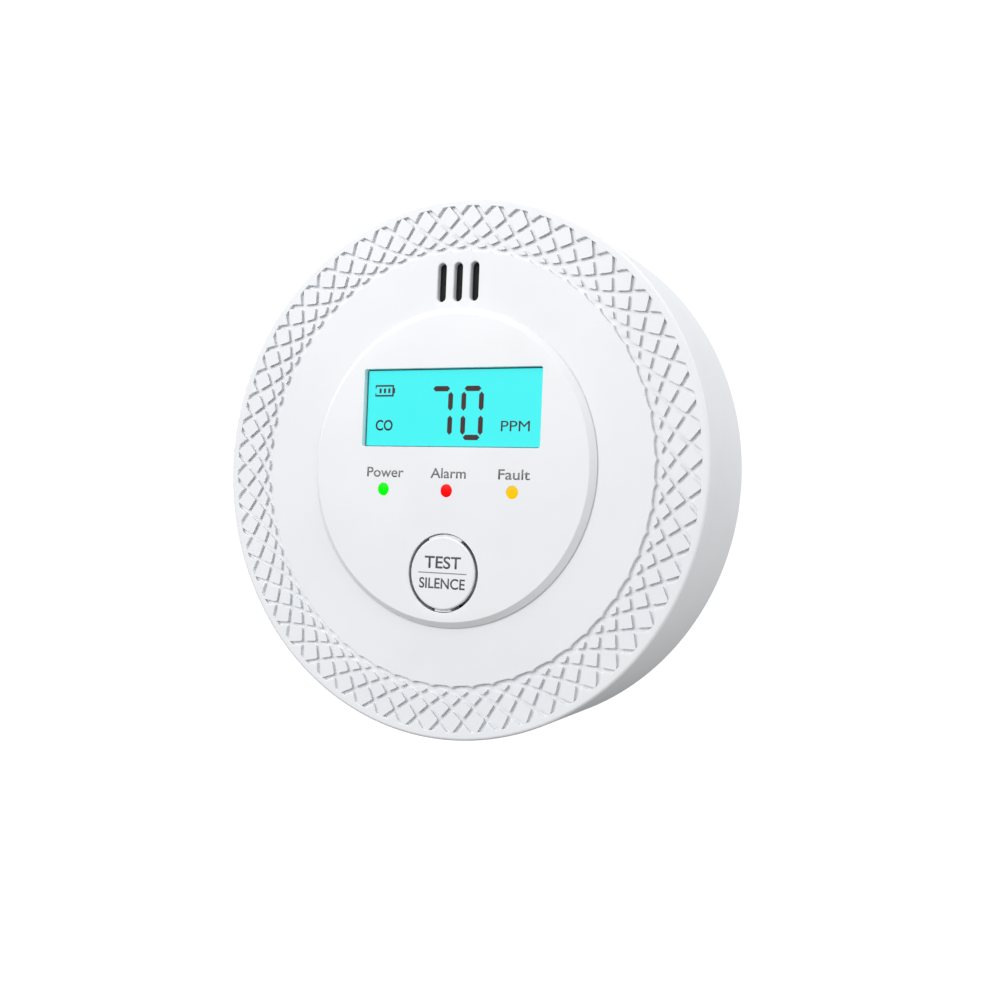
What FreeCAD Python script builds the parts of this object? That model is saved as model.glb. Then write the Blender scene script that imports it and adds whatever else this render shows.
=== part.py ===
"""Wall-mounted carbon monoxide detector: a round alarm on a twist-lock bracket.

Millimetres. +X is right and +Z is up as the user faces the alarm, and the face looks along -Y.
The origin is the centre of the bracket's back face, so the wall is the plane y = 0.
Depths are given as f, the distance behind the plane of the case's front edge.
"""
import FreeCAD
import Part

import math
import os

# Driving dimensions
DEPTH = 27.5             # front edge of the case to the wall
CASE_R = 53.3            # case radius at the front edge
CASE_BACK_R = 52.1       # case radius at the back edge
CASE_DEPTH = 22.8        # front edge to the back edge of the case
WALL = 2.0               # case wall thickness
EDGE_R = 0.6             # rounding of the case's front edge

PLATE_R = 31.4           # face plate at its foot
PLATE_RISE = 1.3         # face plate above the case's face
PLATE_BEVEL = 1.1        # how far in the bevel reaches
PLATE_LIP = 0.25         # height of the undercut foot below the bevel
PLATE_FOOT_R = 31.2
PLATE_SEAT = 0.6         # depth of the plate's seat in the case's face
PLATE_GAP = 0.05
OPENING_MARGIN = 2.0     # case opening around the plate's window

WINDOW_W = 39.8
WINDOW_H = 15.6
WINDOW_Z = 11.75
WINDOW_DEPTH = 1.25      # plate's face to the display glass
LENS_T = 0.6
LENS_GAP = 0.1
GLASS_T = 1.0            # each of the display's two sheets
GLASS_W = 42.6
LEDGE = 2.3              # contact ledge of the front sheet, above and below

LED_X = 14.4             # spacing of the three indicator lights
LED_Z = -4.6
LED_R = 1.25
PIPE_COLLAR_R = 2.0
PIPE_END = 3.3

BUTTON_Z = -20.7
BUTTON_R = 7.15
BUTTON_HOLE_R = 7.75
BUTTON_PROUD = 0.2
BUTTON_INNER_R = 5.9
BUTTON_TAB_R = 9.3
BUTTON_SKIRT_R = 6.65
BUTTON_LIP = 0.4         # height of the full-width lips of the button and of its hole
BUTTON_RELIEF_R = 8.2    # hole behind its lip, between the guide ribs
BUTTON_SKIRT_END = 2.9
BUTTON_CROWN_T = 1.5
BUTTON_STEM_END = 0.6
BUTTON_RIBS = ((89.5, 29.5), (271.0, 14.0))      # middle and half width, degrees

SLOT_PITCH = 3.65
SLOT_W = 1.85
SLOT_LOW_Z = 32.8
SLOT_HIGH_Z = 40.5
SLOT_SKIN = 1.15         # thickness of the face at the slots
GAUZE_R = 9.0
GAUZE_T = 0.4
SLOT_MIDDLE_Z = (SLOT_LOW_Z + SLOT_HIGH_Z) / 2

# Ring of raised diamonds, left between two families of curved grooves. A groove's centre runs
# at radius RING_IN + GROOVE_BOW * s * s, with s in degrees from where it touches the inner circle,
# and the two families cross at s = CROSSING.
RING_IN = 43.1
RING_OUT = 51.7
GROOVE_BOW = 0.0342
GROOVES = 60
CROSSING = 13.6
GROOVE_HALF = 0.47       # half of a groove's width
GROOVE_DEPTH = 0.65
ROWS = (-3, -2, -1, 0)

PCB_FRONT = 5.0
PCB_T = 1.6
PCB_R = 45.5
PCB_BACK = PCB_FRONT + PCB_T
GLASS_F = WINDOW_DEPTH - PLATE_RISE

SCREW_PCD_R = 45.0
SCREW_ANGLES = (50.0, 130.0, 230.0, 310.0)
PCB_SCREWS = ((-38.0, 0.0), (38.0, 0.0), (-16.0, -38.0), (16.0, -38.0))
SCREW_BOSS_R = 3.0
SCREW_BOSS_END = 17.9
SCREW_SHANK_R = 1.3
SCREW_HEAD_F = 20.6
PCB_BOSS_R = 2.6
PCB_SHANK_R = 1.0
THREAD_GRIP = 0.05       # clearance between a screw and its pilot hole

CELL_R = 7.25            # AA cell
CELL_L = 50.5
CELL_F = 17.2            # depth of the cells' axes
BAY_HALF_X = 29.0
BAY_HALF_Z = 15.2
BAY_Z = -6.0
BAY_FLOOR = 9.7
BAY_WALL = 1.2
CELL_OFFSET = 7.55       # each cell's axis above or below the middle of the bay
NUB_L = 1.2
CONTACT_T = 0.4

REAR_T = 1.5
REAR_R = 49.6
BOSS_R = 38.0            # stepped boss that enters the bracket
BOSS_WALL = 1.6
BOSS_BACK = 26.8
BOSS_PLATE = 2.0

DOOR_HALF_X = 28.0
DOOR_T = 1.5
DOOR_TOP_Z = 9.6
HINGE_Z = -20.4
HINGE_F = 25.75
HINGE_PIN_R = 0.7
DOOR_GAP = 0.35

RING_R = 49.5            # bracket
RING_OPEN_R = 42.0
RING_T = 2.0
RING_FRONT = 24.0
RIM_T = 1.4
LUG_IN_R = 38.8
LUG_T = 1.2
LUG_HALF = 12.0          # degrees
TAB_OUT_R = 41.4
TAB_FRONT = 25.5
TAB_HALF = 11.0          # degrees
BAYONET_ANGLES = (90.0, 210.0, 330.0)
MOUNT_PCD_R = 46.0
MOUNT_HOLE_R = 2.2

BUZZER_Z = 37.2
BUZZER_R = 11.8
BUZZER_FRONT = 2.5
BUZZER_BACK = 9.0
COLLAR_R = 12.7          # collar of the case around the sounder
COLLAR_IN_R = 12.0
COLLAR_END = 4.5

SENSOR_X = -31.0
SENSOR_Z = 21.5
SENSOR_R = 9.8

FORWARD = FreeCAD.Vector(0, -1, 0)
BACKWARD = FreeCAD.Vector(0, 1, 0)
ORIGIN = FreeCAD.Vector(0, 0, 0)


def place(x, f, z):
    """Point at depth f behind the case's front edge."""
    return FreeCAD.Vector(x, f - DEPTH, z)


def disc(r, f0, f1, x=0.0, z=0.0):
    """Cylinder along Y from depth f0 to depth f1."""
    return Part.makeCylinder(r, f1 - f0, place(x, f0, z), BACKWARD)


def ring(r_out, r_in, f0, f1, x=0.0, z=0.0):
    return disc(r_out, f0, f1, x, z).cut(disc(r_in, f0 - 1, f1 + 1, x, z))


def block(x0, x1, f0, f1, z0, z1):
    return Part.makeBox(x1 - x0, f1 - f0, z1 - z0, place(x0, f0, z0))


def tablet(width, height, r, f0, f1, x=0.0, z=0.0):
    """Rectangular plate facing -Y with its four corners rounded to r."""
    body = block(x - width / 2, x + width / 2, f0, f1, z - height / 2, z + height / 2)
    corners = [e for e in body.Edges if abs(e.Length - (f1 - f0)) < 1e-6
               and abs(e.Vertexes[0].Point.y - e.Vertexes[1].Point.y) > 1e-6]
    return body.makeFillet(r, corners)


def turned(points, start=0.0, sweep=360.0):
    """Solid turned about the Y axis from (radius, depth) points, from angle start in the face."""
    corners = [place(r, f, 0) for r, f in points]
    face = Part.Face(Part.makePolygon(corners + corners[:1]))
    body = face.revolve(ORIGIN, FORWARD, sweep)
    body.rotate(ORIGIN, FORWARD, start)
    return body


def sector(r_in, r_out, f0, f1, middle, half):
    """Part of a ring about the Y axis, half degrees to each side of its middle."""
    outline = [(r_in, f0), (r_out, f0), (r_out, f1), (r_in, f1)]
    return turned(outline, middle - half, 2 * half)


def button_sector(r_in, r_out, f0, f1, middle, half):
    """Part of a ring about the button's own axis."""
    part = sector(r_in, r_out, f0, f1, middle, half)
    part.translate(FreeCAD.Vector(0, 0, BUTTON_Z))
    return part


def polar(r, degrees):
    a = math.radians(degrees)
    return r * math.cos(a), r * math.sin(a)


def joined(shapes):
    result = shapes[0]
    if len(shapes) > 1:
        result = result.fuse(shapes[1:])
    return result.removeSplitter()


def round_slot(width, z0, z1, f0, f1, x=0.0):
    """Vertical slot with round ends."""
    r = width / 2
    return joined([block(x - r, x + r, f0, f1, z0 + r, z1 - r),
                   disc(r, f0, f1, x, z0 + r), disc(r, f0, f1, x, z1 - r)])


def wall_radius(f):
    """Outer radius of the tapered side wall at depth f."""
    return CASE_R + (CASE_BACK_R - CASE_R) * f / CASE_DEPTH


PITCH = 360.0 / GROOVES


def angle_rate(s):
    """Degrees of groove angle per millimetre across a groove, at s."""
    r = RING_IN + GROOVE_BOW * s * s
    return math.hypot(math.degrees(1) / r, 1 / (2 * GROOVE_BOW * s))


def ring_point(u, v):
    """Point of the face with groove angles u and v; each groove lies where one is a multiple of PITCH."""
    s = (v - u) / 2 + CROSSING
    x, z = polar(RING_IN + GROOVE_BOW * s * s, (u + v) / 2)
    return place(x, 0, z)


def tip_margin(s_cross, direction):
    """Angle by which a cell's tip stands clear of the grooves that cross at s_cross."""
    s = s_cross
    for _ in range(30):
        s = s_cross + direction * GROOVE_HALF * angle_rate(s)
    return GROOVE_HALF * angle_rate(s)


def diamond(k, row):
    """Four-sided cell whose sides run beside grooves k and k + 1 of one family."""
    s_mid = CROSSING + PITCH / 2 * row
    side = GROOVE_HALF * angle_rate(s_mid)
    inner = tip_margin(s_mid - PITCH / 2, 1)
    outer = tip_margin(s_mid + PITCH / 2, -1)
    u0, v0 = PITCH * k, PITCH * (k + row)
    u1, v1 = u0 + PITCH, v0 + PITCH
    s_quarter = s_mid + PITCH / 4
    mid_out = GROOVE_HALF * angle_rate(s_quarter)
    mid_in = GROOVE_HALF * angle_rate(s_mid - PITCH / 4)
    v_mid = (v0 + v1) / 2
    u_mid = (u0 + u1) / 2
    corners = [ring_point(u1 - inner, v0 + inner), ring_point(u1 - mid_in, v_mid),
               ring_point(u1 - side, v1 - side), ring_point(u_mid, v1 - mid_out),
               ring_point(u0 + outer, v1 - outer), ring_point(u0 + mid_out, v_mid),
               ring_point(u0 + side, v0 + side), ring_point(u_mid, v0 + mid_in)]
    outline = Part.makePolygon(corners + corners[:1])
    return Part.Face(outline).extrude(FreeCAD.Vector(0, GROOVE_DEPTH + 0.2, 0))


def rim_tooth(k):
    """Triangle that points inwards from the rim, between two rows of cells."""
    margin = tip_margin(CROSSING, 1)
    s_rim = math.sqrt((RING_OUT + 0.2 - RING_IN) / GROOVE_BOW)
    half = s_rim - CROSSING - GROOVE_HALF * angle_rate(s_rim)
    corners = []
    for r, degrees in ((RING_IN + GROOVE_BOW * (CROSSING + margin) ** 2, 0.0),
                       (RING_OUT + 0.2, half), (RING_OUT + 0.2, -half)):
        x, z = polar(r, PITCH * k + degrees)
        corners.append(place(x, 0, z))
    outline = Part.makePolygon(corners + corners[:1])
    return Part.Face(outline).extrude(FreeCAD.Vector(0, GROOVE_DEPTH + 0.2, 0))


def patterned(shell):
    """Sinks a ring into the face and leaves the raised cells standing in it."""
    shell = shell.cut(disc(RING_OUT, -1, GROOVE_DEPTH).cut(disc(RING_IN - GROOVE_HALF, -2, DEPTH)))
    cells = [rim_tooth(k) for k in range(GROOVES)]
    for row in ROWS:
        cells += [diamond(k, row) for k in range(GROOVES)]
    return shell.fuse(cells)


def front_cover():
    """Face and side wall in one moulding, with the screw bosses inside."""
    shell = turned([(0, 0), (CASE_R, 0), (CASE_BACK_R, CASE_DEPTH),
                    (CASE_BACK_R - WALL, CASE_DEPTH), (wall_radius(WALL) - WALL, WALL), (0, WALL)])
    rim = [e for e in shell.Edges if len(e.Vertexes) == 1
           and abs(e.Vertexes[0].Point.y + DEPTH) < 1e-6]
    shell = shell.makeFillet(EDGE_R, rim)
    fittings = []
    root = WALL - 0.5
    for angle in SCREW_ANGLES:
        x, z = polar(SCREW_PCD_R, angle)
        fittings.append(disc(SCREW_BOSS_R, root, SCREW_BOSS_END, x, z))
    for x, z in PCB_SCREWS:
        fittings.append(disc(PCB_BOSS_R, root, PCB_FRONT, x, z))
    fittings.append(ring(COLLAR_R, COLLAR_IN_R, root, COLLAR_END, 0, BUZZER_Z))
    shell = joined([shell] + fittings)
    shell = shell.cut(disc(PLATE_FOOT_R + PLATE_GAP, -1, PLATE_SEAT))
    shell = shell.cut(tablet(WINDOW_W + 2 * OPENING_MARGIN, WINDOW_H + 2 * OPENING_MARGIN, 0.8,
                             -1, WALL + 1, 0, WINDOW_Z))
    shell = shell.cut(disc(GAUZE_R + 0.2, SLOT_SKIN, WALL + 0.1, 0, SLOT_MIDDLE_Z))
    shell = shell.cut(disc(BUTTON_RELIEF_R, -1, WALL + 1, 0, BUTTON_Z))
    for side in (-1, 0, 1):
        shell = shell.cut(disc(PIPE_COLLAR_R + 0.1, -1, WALL + 1, side * LED_X, LED_Z))
        shell = shell.cut(round_slot(SLOT_W, SLOT_LOW_Z, SLOT_HIGH_Z, -1, WALL + 1, side * SLOT_PITCH))
    for angle in SCREW_ANGLES:
        x, z = polar(SCREW_PCD_R, angle)
        shell = shell.cut(disc(SCREW_SHANK_R + THREAD_GRIP, 8.0, SCREW_BOSS_END + 1, x, z))
    for x, z in PCB_SCREWS:
        shell = shell.cut(disc(PCB_SHANK_R + THREAD_GRIP, WALL, PCB_FRONT + 1, x, z))
    return patterned(shell)


def face_plate():
    """Round raised plate with the window, the light holes and the button hole."""
    bevel_r = PLATE_R - PLATE_BEVEL
    plate = turned([(0, PLATE_SEAT), (PLATE_FOOT_R, PLATE_SEAT), (PLATE_FOOT_R, -PLATE_LIP),
                    (PLATE_R, -PLATE_LIP), (bevel_r, -PLATE_RISE), (0, -PLATE_RISE)])
    plate = plate.cut(tablet(WINDOW_W, WINDOW_H, 0.5, -PLATE_RISE - 1, PLATE_SEAT + 1, 0, WINDOW_Z))
    plate = plate.cut(tablet(GLASS_W + 0.4, WINDOW_H + 3.2, 0.3, GLASS_F, PLATE_SEAT + 1,
                             0, WINDOW_Z))
    plate = plate.cut(disc(BUTTON_HOLE_R, -PLATE_RISE - 1, PLATE_SEAT + 1, 0, BUTTON_Z))
    for i, (middle, half) in enumerate(BUTTON_RIBS):
        next_middle, next_half = BUTTON_RIBS[(i + 1) % len(BUTTON_RIBS)]
        start = middle + half + 1.0
        span = (next_middle - next_half - 1.0 - start) % 360.0
        plate = plate.cut(button_sector(BUTTON_R, BUTTON_RELIEF_R, BUTTON_LIP - PLATE_RISE,
                                        PLATE_SEAT + 1, start + span / 2, span / 2))
    for side in (-1, 0, 1):
        plate = plate.cut(disc(LED_R + 0.03, -PLATE_RISE - 1, PLATE_SEAT + 1, side * LED_X, LED_Z))
    return plate


def lcd_window():
    """Clear lens bonded to the display glass inside the plate's window."""
    return tablet(WINDOW_W - 2 * LENS_GAP, WINDOW_H - 2 * LENS_GAP, 0.4, GLASS_F - LENS_T, GLASS_F,
                  0, WINDOW_Z)


def lcd_glass():
    """Two sheets of display glass; the front sheet is taller and carries the contact ledges."""
    middle = GLASS_F + GLASS_T
    height = WINDOW_H + 2.8
    return joined([tablet(GLASS_W, height, 0.2, GLASS_F, middle, 0, WINDOW_Z),
                   tablet(GLASS_W, height - 2 * LEDGE, 0.2, middle, middle + GLASS_T, 0, WINDOW_Z)])


def lcd_backlight():
    """Light guide behind the display glass."""
    return tablet(GLASS_W - 0.6, 13.4, 0.3, GLASS_F + 2 * GLASS_T, PCB_FRONT, 0, WINDOW_Z)


def zebra_strips():
    """Two elastomer strips that carry the display's signals to the board."""
    strips = []
    for side in (-1, 1):
        z = WINDOW_Z + side * 8.1
        strips.append(block(-20.0, 20.0, GLASS_F + GLASS_T, PCB_FRONT, z - 0.9, z + 0.9))
    return Part.makeCompound(strips)


def lcd_frame():
    """Frame that holds the display on the board."""
    outer = tablet(46.4, 22.4, 0.8, WALL + 0.1, PCB_FRONT, 0, WINDOW_Z)
    return outer.cut(tablet(42.9, 18.7, 0.3, WALL - 1, PCB_FRONT + 1, 0, WINDOW_Z))


def light_pipe(x):
    """Clear rod that ends flush with the plate, held by its collar in the case's face."""
    return joined([disc(LED_R, -PLATE_RISE, PIPE_END, x, LED_Z),
                   disc(PIPE_COLLAR_R, PLATE_SEAT, WALL, x, LED_Z)])


def led(x):
    """Indicator light on the board: a square base with a low round lens."""
    return joined([block(x - 1.4, x + 1.4, 4.3, PCB_FRONT, LED_Z - 1.4, LED_Z + 1.4),
                   disc(1.1, 3.5, 4.3, x, LED_Z)])


def main_pcb():
    """Round circuit board with room for the sounder and the case's bosses."""
    board = disc(PCB_R, PCB_FRONT, PCB_BACK)
    board = board.cut(disc(13.2, PCB_FRONT - 1, PCB_BACK + 1, 0, BUZZER_Z))
    for angle in SCREW_ANGLES:
        x, z = polar(SCREW_PCD_R, angle)
        board = board.cut(disc(3.7, PCB_FRONT - 1, PCB_BACK + 1, x, z))
    for x, z in PCB_SCREWS:
        board = board.cut(disc(1.3, PCB_FRONT - 1, PCB_BACK + 1, x, z))
    return board


def chip(x, z, size, height, pins):
    """Flat chip package on the back of the board with a row of legs on two sides."""
    half = size / 2
    body = block(x - half, x + half, PCB_BACK + 0.1, PCB_BACK + height, z - half, z + half)
    pitch = size / pins
    legs = []
    for side in (-1, 1):
        for i in range(pins):
            leg_z = z - half + (i + 0.5) * pitch
            edge = x + side * half
            out = edge + side * 1.0
            legs.append(block(min(edge, out) - 0.1, max(edge, out) + 0.1, PCB_BACK, PCB_BACK + 0.4,
                              leg_z - pitch / 5, leg_z + pitch / 5))
    return joined([body] + legs)


def capacitors():
    """Two electrolytic capacitors standing on the back of the board."""
    cans = []
    for x, z, r, height in ((36.0, 15.5, 4.0, 11.5), (31.0, 25.0, 3.15, 11.0)):
        can = joined([disc(r, PCB_BACK, PCB_BACK + 1.2, x, z),
                      disc(r - 0.35, PCB_BACK + 1.2, PCB_BACK + 1.9, x, z),
                      disc(r, PCB_BACK + 1.9, PCB_BACK + height, x, z)])
        cans.append(can)
    return Part.makeCompound(cans)


def driver_coil():
    """Drum-core coil that steps the voltage up for the sounder."""
    x, z = 19.0, 20.0
    return joined([disc(4.0, PCB_BACK, PCB_BACK + 1.2, x, z),
                   disc(3.2, PCB_BACK + 1.2, PCB_BACK + 6.8, x, z),
                   disc(4.0, PCB_BACK + 6.8, PCB_BACK + 8.0, x, z)])


def switch_body():
    """Body of the push switch under the test button, with the plunger's hole."""
    body = block(-3.0, 3.0, 1.9, PCB_FRONT, BUTTON_Z - 3.0, BUTTON_Z + 3.0)
    return body.cut(disc(1.75, 1.0, 3.2, 0, BUTTON_Z))


def switch_plunger():
    return disc(1.7, 1.2, 2.9, 0, BUTTON_Z)


def test_button():
    """Hollow cap with guide ribs and retaining tabs on its skirt, and a stem over the switch."""
    top = -PLATE_RISE - BUTTON_PROUD
    cap = disc(BUTTON_R, top, top + BUTTON_LIP, 0, BUTTON_Z)
    crown = [e for e in cap.Edges if len(e.Vertexes) == 1
             and abs(e.Vertexes[0].Point.y - (top - DEPTH)) < 1e-6]
    cap = cap.makeFillet(0.35, crown)
    cap = cap.fuse(disc(BUTTON_SKIRT_R, top + 0.4, BUTTON_SKIRT_END, 0, BUTTON_Z))
    cap = cap.cut(disc(BUTTON_INNER_R, top + BUTTON_CROWN_T, BUTTON_SKIRT_END + 1, 0, BUTTON_Z))
    parts = [cap, disc(1.5, top + 1.0, BUTTON_STEM_END, 0, BUTTON_Z)]
    inner = BUTTON_SKIRT_R - 0.3
    for middle, half in BUTTON_RIBS:
        parts.append(button_sector(inner, BUTTON_HOLE_R - 0.15, top + BUTTON_LIP, BUTTON_SKIRT_END,
                                   middle, half))
        parts.append(button_sector(inner, BUTTON_TAB_R, WALL + 0.1, BUTTON_SKIRT_END, middle, half))
    return joined(parts)


def gas_sensor():
    """Electrochemical cell in a metal can on three pins."""
    parts = [disc(SENSOR_R, 7.6, 19.0, SENSOR_X, SENSOR_Z),
             disc(SENSOR_R - 1.6, 18.9, 20.2, SENSOR_X, SENSOR_Z)]
    for angle in (90, 210, 330):
        dx, dz = polar(5.0, angle)
        parts.append(disc(0.5, PCB_BACK, 7.8, SENSOR_X + dx, SENSOR_Z + dz))
    return joined(parts)


def sensor_filter():
    """Felt disc over the sensor's inlet."""
    return disc(5.0, 20.2, 20.9, SENSOR_X, SENSOR_Z)


def buzzer_housing():
    """Cup with a sound port to the front and a ledge for the disc."""
    cup = ring(BUZZER_R, BUZZER_R - 1.0, BUZZER_FRONT, BUZZER_BACK, 0, BUZZER_Z)
    front = ring(BUZZER_R - 0.5, 6.0, BUZZER_FRONT, BUZZER_FRONT + 1.0, 0, BUZZER_Z)
    ledge = ring(BUZZER_R - 0.5, 9.2, 5.0, 5.8, 0, BUZZER_Z)
    return joined([cup, front, ledge])


def buzzer_disc():
    """Brass disc with the thinner ceramic disc bonded on its back."""
    return joined([disc(BUZZER_R - 1.2, 5.8, 6.1, 0, BUZZER_Z), disc(7.5, 6.1, 6.35, 0, BUZZER_Z)])


def buzzer_retainer():
    """Snap ring that holds the sounder's disc on its ledge."""
    return ring(BUZZER_R - 1.1, 8.8, 6.5, 8.2, 0, BUZZER_Z)


def dust_mesh():
    """Fine gauze across the back of the three sound slots."""
    return disc(GAUZE_R, SLOT_SKIN, SLOT_SKIN + GAUZE_T, 0, SLOT_MIDDLE_Z)


def rear_cover():
    """Back of the case: plate, stepped boss, battery bay, screw sleeves and bayonet tabs."""
    front = CASE_DEPTH - REAR_T
    boss_in = BOSS_R - BOSS_WALL
    shell = turned([(boss_in, front), (REAR_R, front), (REAR_R, CASE_DEPTH), (BOSS_R, CASE_DEPTH),
                    (BOSS_R, BOSS_BACK), (0, BOSS_BACK), (0, BOSS_BACK - BOSS_PLATE),
                    (boss_in, BOSS_BACK - BOSS_PLATE)])
    half_x = BAY_HALF_X + BAY_WALL
    half_z = BAY_HALF_Z + BAY_WALL
    adds = [block(-half_x, half_x, BAY_FLOOR - BAY_WALL, BOSS_BACK - 0.5, BAY_Z - half_z, BAY_Z + half_z)]
    for angle in SCREW_ANGLES:
        x, z = polar(SCREW_PCD_R, angle)
        adds.append(disc(3.3, 18.0, CASE_DEPTH, x, z))
    for angle in BAYONET_ANGLES:
        adds.append(sector(BOSS_R - 1.0, TAB_OUT_R, TAB_FRONT, BOSS_BACK, angle, TAB_HALF))
    shell = joined([shell] + adds)
    shell = shell.cut(block(-BAY_HALF_X, BAY_HALF_X, BAY_FLOOR, BOSS_BACK - BOSS_PLATE + 0.2,
                            BAY_Z - BAY_HALF_Z, BAY_Z + BAY_HALF_Z))
    shell = shell.cut(block(-DOOR_HALF_X - DOOR_GAP, DOOR_HALF_X + DOOR_GAP,
                            BOSS_BACK - BOSS_PLATE - 0.1, BOSS_BACK + 1,
                            HINGE_Z - 1.2, DOOR_TOP_Z + DOOR_GAP))
    pin_hole = Part.makeCylinder(HINGE_PIN_R + 0.08, 2 * (DOOR_HALF_X + 1.9),
                                 place(-DOOR_HALF_X - 1.9, HINGE_F, HINGE_Z), FreeCAD.Vector(1, 0, 0))
    shell = shell.cut(pin_hole)
    for angle in SCREW_ANGLES:
        x, z = polar(SCREW_PCD_R, angle)
        shell = shell.cut(disc(1.6, 17.0, CASE_DEPTH + 1, x, z))
        shell = shell.cut(disc(2.9, SCREW_HEAD_F, CASE_DEPTH + 1, x, z))
    for angle in (140, 145, 150, 155, 160):
        vent = block(40.0, 47.0, front - 1, CASE_DEPTH + 1, -0.8, 0.8)
        vent.rotate(ORIGIN, FORWARD, angle)
        shell = shell.cut(vent)
    finger_notch = disc(7.0, BOSS_BACK - 1.0, BOSS_BACK + 1, 0, DOOR_TOP_Z + 1.5)
    shell = shell.cut(finger_notch)
    for side in (-1, 1):
        shell = shell.cut(contact_slot(side))
    return shell


def contact_slot(side):
    """Slot in the bay's floor for a battery contact's tail."""
    inner = side * (BAY_HALF_X - 0.7)
    outer = side * BAY_HALF_X
    return block(min(inner, outer), max(inner, outer), BAY_FLOOR - BAY_WALL - 1, BAY_FLOOR + 1,
                 BAY_Z - 12.0, BAY_Z + 12.0)


def battery_door():
    """Door with a rounded lower edge that turns on two short pins, and a thumb ridge."""
    plate = block(-DOOR_HALF_X, DOOR_HALF_X, HINGE_F - DOOR_T / 2, HINGE_F + DOOR_T / 2,
                  HINGE_Z, DOOR_TOP_Z)
    reach = DOOR_HALF_X + 1.5
    barrel = Part.makeCylinder(DOOR_T / 2, 2 * DOOR_HALF_X, place(-DOOR_HALF_X, HINGE_F, HINGE_Z),
                               FreeCAD.Vector(1, 0, 0))
    pins = Part.makeCylinder(HINGE_PIN_R, 2 * reach, place(-reach, HINGE_F, HINGE_Z),
                             FreeCAD.Vector(1, 0, 0))
    ridges = []
    for i in range(3):
        z = DOOR_TOP_Z - 2.0 - 1.6 * i
        ridges.append(block(-6.0, 6.0, HINGE_F + DOOR_T / 2 - 0.1, HINGE_F + DOOR_T / 2 + 0.35,
                            z - 0.4, z + 0.4))
    return joined([plate, barrel, pins] + ridges)


def cell_flat_x(side):
    """X of the flat end of a cell whose nub, at side, touches the contact plate."""
    return side * (BAY_HALF_X - CONTACT_T - 0.02 - CELL_L)


def cell(z, side):
    """AA cell along X with its positive end at side (+1 right, -1 left)."""
    flat = cell_flat_x(side)
    along = FreeCAD.Vector(side, 0, 0)
    can = Part.makeCylinder(CELL_R, CELL_L - NUB_L, place(flat, CELL_F, z), along)
    nub_x = flat + side * (CELL_L - NUB_L - 0.1)
    nub = Part.makeCylinder(2.7, NUB_L + 0.1, place(nub_x, CELL_F, z), along)
    return joined([can, nub])


def contact_spring(z, side):
    """Conical spring between a contact plate and the flat end of the cell whose nub is at side."""
    plate_x = -side * (BAY_HALF_X - CONTACT_T)
    wire_r = 0.35
    base_r = 3.0
    turns = 3.0
    cone_angle = 12.0
    length = abs(cell_flat_x(side) - plate_x) - 2 * wire_r - 0.1
    path = Part.makeHelix(length / turns, length, base_r, cone_angle)
    section = Part.Wire(Part.makeCircle(wire_r, FreeCAD.Vector(base_r, 0, 0), BACKWARD))
    coil = path.makePipeShell([section], True, True)
    coil.rotate(ORIGIN, BACKWARD, -90 * side)
    coil.translate(place(-side * (abs(cell_flat_x(side)) + wire_r + 0.05), CELL_F, z))
    return coil


def contact_plate(side, z0, z1, tail_z):
    """Sheet contact on the bay's end wall with a tail through the floor to the board."""
    inner = side * (BAY_HALF_X - CONTACT_T)
    outer = side * BAY_HALF_X
    x0, x1 = min(inner, outer), max(inner, outer)
    return joined([block(x0, x1, BAY_FLOOR + 0.2, 23.6, z0, z1),
                   block(x0, x1, PCB_BACK, BAY_FLOOR + 0.3, tail_z - 1.5, tail_z + 1.5)])


def screw(x, z, head_r, head_f, head_t, shank_r, length):
    """Pan-head screw driven towards the front, with a cross recess."""
    body = joined([disc(head_r, head_f, head_f + head_t, x, z),
                   disc(shank_r, head_f - length, head_f + 0.1, x, z)])
    back = head_f + head_t
    for wide, tall in ((head_r * 0.6, 0.25), (0.25, head_r * 0.6)):
        body = body.cut(block(x - wide, x + wide, back - 0.7, back + 1, z - tall, z + tall))
    return body


def housing_screws():
    places = [polar(SCREW_PCD_R, angle) for angle in SCREW_ANGLES]
    return Part.makeCompound([screw(x, z, 2.7, SCREW_HEAD_F, 1.6, SCREW_SHANK_R, 11.0)
                              for x, z in places])


def pcb_screws():
    return Part.makeCompound([screw(x, z, 2.2, PCB_BACK, 1.4, PCB_SHANK_R, 4.3)
                              for x, z in PCB_SCREWS])


def wall_bracket():
    """Ring screwed to the wall, with three lugs and their end stops."""
    flange_front = DEPTH - RING_T
    ring_body = turned([(RING_OPEN_R, RING_FRONT), (RING_OPEN_R + RIM_T, RING_FRONT),
                        (RING_OPEN_R + RIM_T, flange_front), (RING_R, flange_front),
                        (RING_R, DEPTH), (RING_OPEN_R, DEPTH)])
    parts = [ring_body]
    for angle in BAYONET_ANGLES:
        parts.append(sector(LUG_IN_R, RING_OPEN_R + 0.5, RING_FRONT, RING_FRONT + LUG_T, angle, LUG_HALF))
        parts.append(sector(LUG_IN_R, RING_OPEN_R + 0.5, RING_FRONT, DEPTH, angle - 13.0, 1.2))
    body = joined(parts)
    for angle in (45, 135, 225, 315):
        x, z = polar(MOUNT_PCD_R, angle)
        body = body.cut(disc(MOUNT_HOLE_R, flange_front - 1, DEPTH + 1, x, z))
    return body


UPPER_Z = BAY_Z + CELL_OFFSET
LOWER_Z = BAY_Z - CELL_OFFSET
BAY_TOP_Z = BAY_Z + BAY_HALF_Z - 0.4
BAY_LOW_Z = BAY_Z - BAY_HALF_Z + 0.4

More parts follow.
